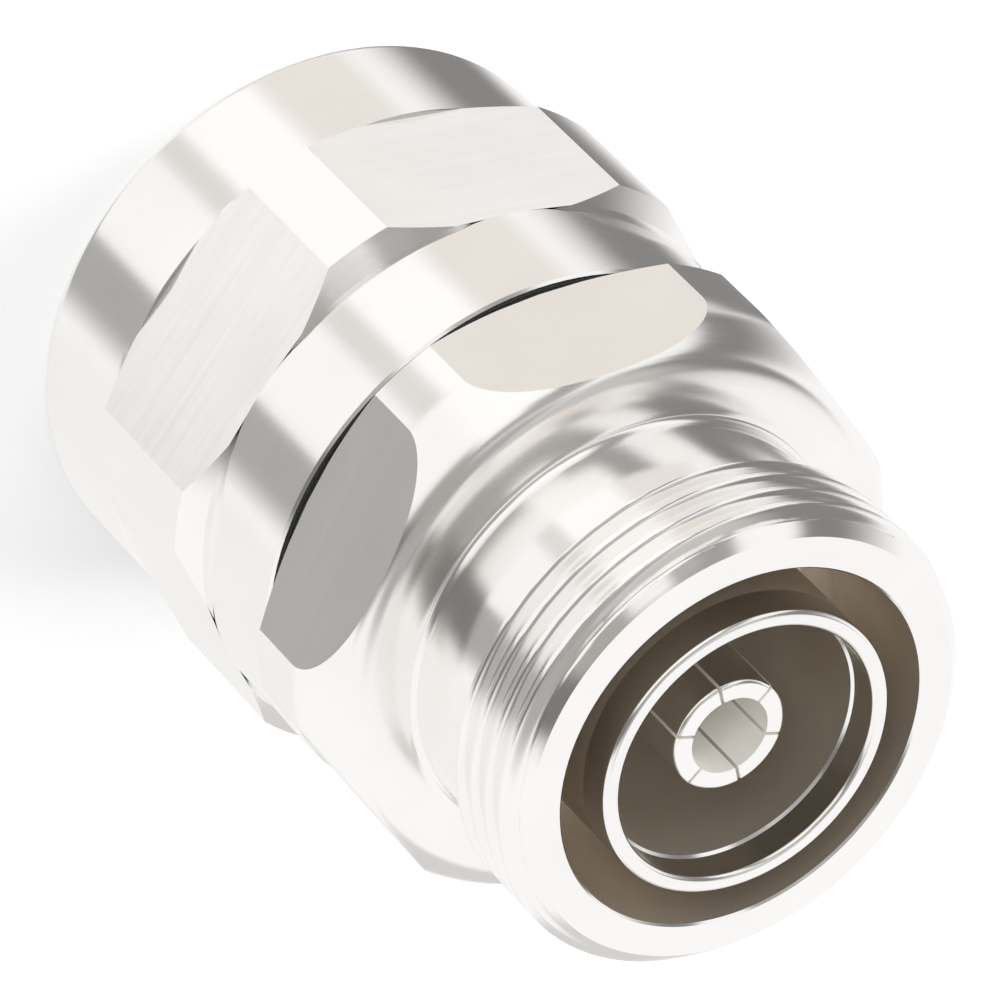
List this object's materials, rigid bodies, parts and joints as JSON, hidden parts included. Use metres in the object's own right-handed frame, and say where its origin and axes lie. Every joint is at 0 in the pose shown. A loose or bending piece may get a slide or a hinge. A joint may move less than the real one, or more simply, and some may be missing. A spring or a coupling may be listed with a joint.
{
  "type": "large din coaxial connector",
  "caption": "Upright threaded coaxial socket for feeder cable: hexagon body with a round contact tube on top, screwed into a hexagon clamp nut with an open cable end.",
  "frame": {"origin": "centre of the cable end's rim, the lowest plane of the clamp nut", "axes": "+Z along the connector's axis from the cable end up to the mating face; +X square to a flat of the clamp nut"},
  "size_m": [0.036, 0.0372, 0.0485],
  "materials": {
    "plated_brass": "polished white bronze plate",
    "silvered_contact": "bright silver plate",
    "bare_brass": "turned, bare",
    "spring_steel": "drawn stainless wire",
    "white_fluoroplastic": "turned, satin",
    "black_rubber": "moulded, matte"
  },
  "bodies": {
    "nut": {"clamp_nut": "plated_brass", "jacket_seal": "black_rubber"},
    "clamp_set": {"clamp_segment_1": "bare_brass", "clamp_segment_2": "bare_brass", "clamp_segment_3": "bare_brass", "clamp_segment_4": "bare_brass", "clamp_segment_5": "bare_brass", "clamp_segment_6": "bare_brass", "clamp_segment_7": "bare_brass", "clamp_segment_8": "bare_brass", "garter_spring": "spring_steel", "thrust_washer": "bare_brass"},
    "head": {"front_body": "plated_brass", "outer_contact": "plated_brass", "insulator_bead": "white_fluoroplastic", "centre_socket": "silvered_contact", "cable_plug": "silvered_contact", "body_seal": "black_rubber"}
  },
  "joints": [
    {"name": "nut_turn", "type": "hinge", "parent": "nut", "child": "clamp_set", "pos_m": [0, 0, 0.0147], "axis": [0, 0, 1], "range_deg": [0, 2160]},
    {"name": "head_travel", "type": "slide", "parent": "clamp_set", "child": "head", "axis": [0, 0, 1], "range_m": [0, 0.006]}
  ],
  "couplings": [
    {"joint": "nut_turn", "follows": "head_travel", "rad_per_m": 6283.2}
  ]
}
